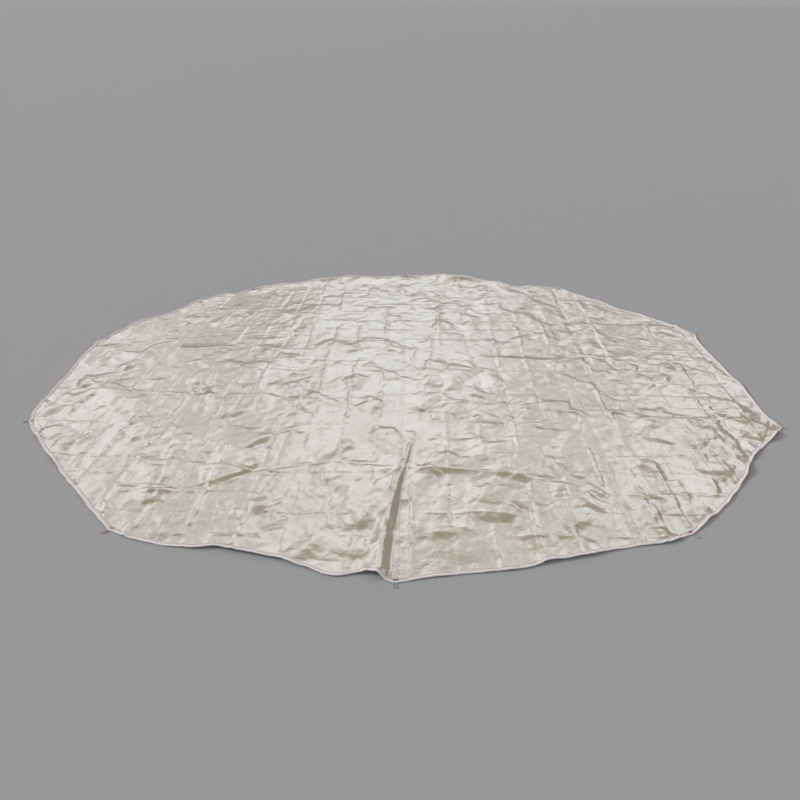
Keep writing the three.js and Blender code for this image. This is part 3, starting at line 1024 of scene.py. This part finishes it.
def peg_loop(i):
    """A loop of braided cord that lies on the ground, pointing out of the corner."""
    tip, out, _, _ = corner_axes(i)
    across = turned(out)
    bend = LOOP_LENGTH - LOOP_HALF_WIDTH - CORD_RADIUS
    turn = np.linspace(math.pi, 0, 25)
    leg = np.linspace(0, bend, 20)[:-1]
    r = np.concatenate([leg, bend + LOOP_HALF_WIDTH * np.sin(turn), leg[::-1]])
    t = np.concatenate([np.full(len(leg), -1.0), np.cos(turn), np.full(len(leg), 1.0)])
    narrow = 1 - LOOP_WAIST * (1 - smooth(r, 0, bend)) * (1 + 0.4 * math.sin(2.3 * i))
    t = LOOP_HALF_WIDTH * t * narrow
    line = tip + r[:, None] * out + t[:, None] * across
    line = np.concatenate([line, np.full((len(line), 1), LOOP_HEIGHT)], axis=1)
    obj = cord_tube(f"peg_loop_{i + 1}", line)
    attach(obj, f"loop_{i + 1}")
    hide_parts(f"corner_loop_{i + 1}")


def cord_tube(name, line):
    """A braided cord along a level line of points."""
    around = 12
    steps = np.linalg.norm(np.diff(line, axis=0), axis=1)
    s = np.concatenate([[0], np.cumsum(steps)])
    fine = np.arange(0, s[-1], CORD_STEP)
    line = np.stack([np.interp(fine, s, line[:, k]) for k in range(3)], axis=1)
    along = np.gradient(line, axis=0)
    along /= np.linalg.norm(along, axis=1)[:, None]
    side = np.stack([along[:, 1], -along[:, 0], np.zeros(len(along))], axis=1)
    angle = np.linspace(0, 2 * math.pi, around, endpoint=False)
    lay = 2 * math.pi * fine[:, None] / BRAID_LAY
    braid = np.cos(4 * angle + lay) * np.cos(4 * angle - lay)
    radius = CORD_RADIUS * (0.95 + 0.07 * braid)
    points = line[:, None, :] + (radius * np.cos(angle))[..., None] * side[:, None, :]
    points[..., 2] += radius * np.sin(angle)
    uv = np.stack(np.broadcast_arrays(fine[:, None], angle[None, :] * CORD_RADIUS), axis=-1).reshape(-1, 2)
    return closed_run(points, CORD, name, uv)


def corners():
    """Makes the patches and loops; gives the pieces sewn to each strip."""
    sewn = {"outer_left": [], "inner_right": [], "outer_right": []}
    for i in range(SIDES):
        if i in (0, SIDES // 2):
            sewn["inner_right"] += corner_patch(i, CENTRE_ROLL)
        else:
            home = "outer_right" if i < SIDES // 2 else "outer_left"
            sewn[home] += corner_patch(i, home)
        peg_loop(i)
    return sewn


# ---- Camera ----


def camera():
    data = bpy.data.cameras.new("camera")
    data.lens = CAMERA_LENS
    data.sensor_width = CAMERA_SENSOR
    data.clip_end = 5000
    obj = bpy.data.objects.new("camera", data)
    obj.location = CAMERA_PLACE
    obj.rotation_euler = [math.radians(a) for a in (90 - CAMERA_DOWN, CAMERA_ROLL, CAMERA_LEFT)]
    bpy.context.scene.collection.objects.link(obj)
    bpy.context.scene.camera = obj


# ---- Stage ----


def floor():
    """A plain matt floor that reaches out to the horizon."""
    corners = FLOOR_REACH * np.array([(-1, -1, 0), (1, -1, 0), (1, 1, 0), (-1, 1, 0)])
    material, _, shader = new_material("pale_floor")
    shader.inputs["Base Color"].default_value = (*FLOOR_COLOR, 1)
    shader.inputs["Roughness"].default_value = 0.9
    shader.inputs["Specular IOR Level"].default_value = 0.2
    obj = build("floor", corners, [[0, 1, 2, 3]], material)


def sun():
    """One soft far light from the left."""
    data = bpy.data.lights.new("key_left", "SUN")
    data.energy = SUN_STRENGTH
    data.angle = math.radians(SUN_SPREAD)
    data.color = SUN_COLOR
    obj = bpy.data.objects.new("key_left", data)
    obj.rotation_euler = Vector(SUN_FROM).to_track_quat("Z", "Y").to_euler()
    bpy.context.scene.collection.objects.link(obj)


def between(tree, value, low, high):
    """0 below one value, 1 above another, and smooth from one to the other."""
    node = tree.nodes.new("ShaderNodeMapRange")
    node.interpolation_type = "SMOOTHSTEP"
    node.inputs["From Min"].default_value = low
    node.inputs["From Max"].default_value = high
    tree.links.new(value, node.inputs["Value"])
    return node.outputs[0]


def mixed(tree, share, first, second):
    """A colour between two, given as colours or as outputs."""
    node = tree.nodes.new("ShaderNodeMix")
    node.data_type = "RGBA"
    tree.links.new(share, node.inputs["Factor"])
    for socket, value in (("A", first), ("B", second)):
        colors = [s for s in node.inputs if s.name == socket and s.type == "RGBA"][0]
        if isinstance(value, tuple):
            colors.default_value = (*value, 1)
        else:
            tree.links.new(value, colors)
    return [s for s in node.outputs if s.type == "RGBA"][0]


def sky():
    """A ring of broad soft windows in a dimmer room that is even with the floor at the horizon."""
    world = bpy.data.worlds.new("soft_sky")
    world.use_nodes = True
    tree = world.node_tree
    background = tree.nodes["Background"]
    source = tree.nodes.new("ShaderNodeTexCoord")
    split = tree.nodes.new("ShaderNodeSeparateXYZ")
    tree.links.new(source.outputs["Generated"], split.inputs[0])
    x, y, z = split.outputs
    around = math_node(tree, "MULTIPLY", math_node(tree, "ARCTAN2", x, y), float(WINDOWS))
    slant = math_node(tree, "MULTIPLY", z, WINDOW_SLANT)
    around = math_node(tree, "ADD", math_node(tree, "ADD", around, slant), WINDOW_TURN)
    frames = between(tree, math_node(tree, "COSINE", around), *WINDOW_EDGE)
    frames.node.inputs["To Min"].default_value = WINDOW_FRAMES
    above_sill = between(tree, z, *WINDOW_SILL)
    below_head = between(tree, z, *reversed(WINDOW_HEAD))
    before_wall = between(tree, x, *reversed(WINDOW_RIGHT))
    past_wall = between(tree, x, *WINDOW_BEYOND)
    off_wall = math_node(tree, "MAXIMUM", before_wall, past_wall)
    window = math_node(tree, "MULTIPLY", math_node(tree, "MULTIPLY", above_sill, below_head), frames)
    window = math_node(tree, "MULTIPLY", window, off_wall)
    room = mixed(tree, window, SKY_DIM, SKY_BRIGHT)
    tree.links.new(mixed(tree, between(tree, z, *HORIZON_TOP), SKY_HORIZON, room), background.inputs[0])
    bpy.context.scene.world = world


camera()
floor()
sky()
sun()

HEMS = hems()
weld("left_weld", -SEAM_X, "inner_left")
weld("centre_weld", 0.0, "inner_left")
weld("right_weld", SEAM_X, "inner_right")
SEWN = corners()
strip(
    "outer_left_cloth", -SEAM_X + LAP, outer_limit(right=False), True, LEFT_ROLL,
    nodes=["outer_left_strip"],
)
strip(
    "inner_left_cloth", -SEAM_X, LAP, False, "inner_left",
    nodes=["inner_left_strip", "centre_pleat"],
)
strip(
    "inner_right_cloth", 0.0, SEAM_X + LAP, False, CENTRE_ROLL,
    nodes=["inner_right_strip"],
)
strip(
    "outer_right_cloth", SEAM_X, outer_limit(right=True), True, RIGHT_ROLL,
    nodes=["outer_right_strip"],
)

bpy.context.scene.view_settings.view_transform = "Standard"
